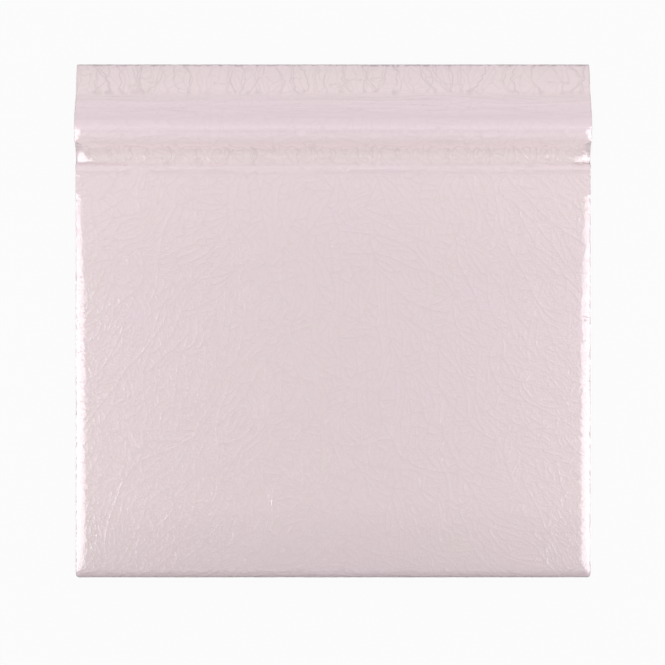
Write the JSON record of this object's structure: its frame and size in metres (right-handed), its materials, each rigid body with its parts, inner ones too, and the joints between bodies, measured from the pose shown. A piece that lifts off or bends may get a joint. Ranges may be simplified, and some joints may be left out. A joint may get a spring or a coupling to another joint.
{
  "type": "skirting tile",
  "caption": "Square glazed wall tile whose upper edge swells into a rounded bead, a cove and a fine arris above the plain face; keyed back.",
  "frame": {"origin": "middle of the back, which the tile lies on", "axes": "+X across the width, +Y up the wall to the moulded edge, +Z out of the glazed face"},
  "size_m": [0.152, 0.152, 0.0172],
  "materials": {
    "glaze": "pale pink crackle glaze, glossy, over a cream biscuit body that is bare on the back and the cut sides"
  },
  "bodies": {
    "root": {"skirting_tile": "glaze"}
  },
  "joints": []
}
